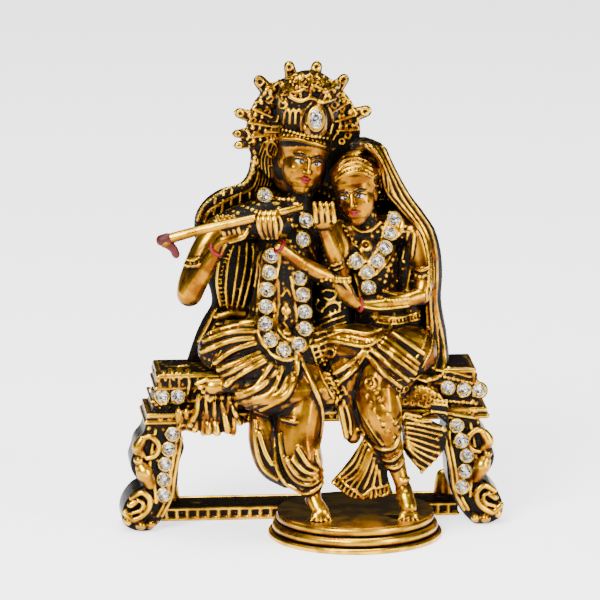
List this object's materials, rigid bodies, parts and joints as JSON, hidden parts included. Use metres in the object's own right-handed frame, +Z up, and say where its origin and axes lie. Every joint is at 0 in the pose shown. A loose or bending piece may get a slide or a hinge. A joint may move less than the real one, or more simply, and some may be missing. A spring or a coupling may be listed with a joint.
{
  "type": "cast figure group statue",
  "caption": "Small cast statue of a flute player and a companion seated on a scroll-legged bench over a round plinth, set with clear stones.",
  "frame": {"origin": "centre of the round plinth's underside", "axes": "+Z up, -Y the front that the figures face, +X to the viewer's right"},
  "size_m": [0.0674, 0.0352, 0.0817],
  "materials": {
    "antique_gold": "antique gold plating over cast zinc alloy, black left in the recesses",
    "crystal": "clear faceted glass, polished"
  },
  "bodies": {
    "root": {"casting": "antique_gold", "garland_stone_01": "crystal", "garland_stone_02": "crystal", "garland_stone_03": "crystal", "garland_stone_04": "crystal", "garland_stone_05": "crystal", "garland_stone_06": "crystal", "garland_stone_07": "crystal", "garland_stone_08": "crystal", "garland_stone_09": "crystal", "garland_stone_10": "crystal", "garland_stone_11": "crystal", "garland_stone_12": "crystal", "garland_stone_13": "crystal", "garland_stone_14": "crystal", "garland_stone_15": "crystal", "necklace_stone_01": "crystal", "necklace_stone_02": "crystal", "necklace_stone_03": "crystal", "necklace_stone_04": "crystal", "necklace_stone_05": "crystal", "necklace_stone_06": "crystal", "necklace_stone_07": "crystal", "crown_stone": "crystal", "seat_stone_01": "crystal", "seat_stone_02": "crystal", "seat_stone_03": "crystal", "seat_stone_04": "crystal", "seat_stone_05": "crystal", "leg_stone_01": "crystal", "leg_stone_02": "crystal", "leg_stone_03": "crystal", "leg_stone_04": "crystal", "leg_stone_05": "crystal", "leg_stone_06": "crystal", "leg_stone_07": "crystal", "leg_stone_08": "crystal", "leg_stone_09": "crystal", "leg_stone_10": "crystal"}
  },
  "joints": []
}
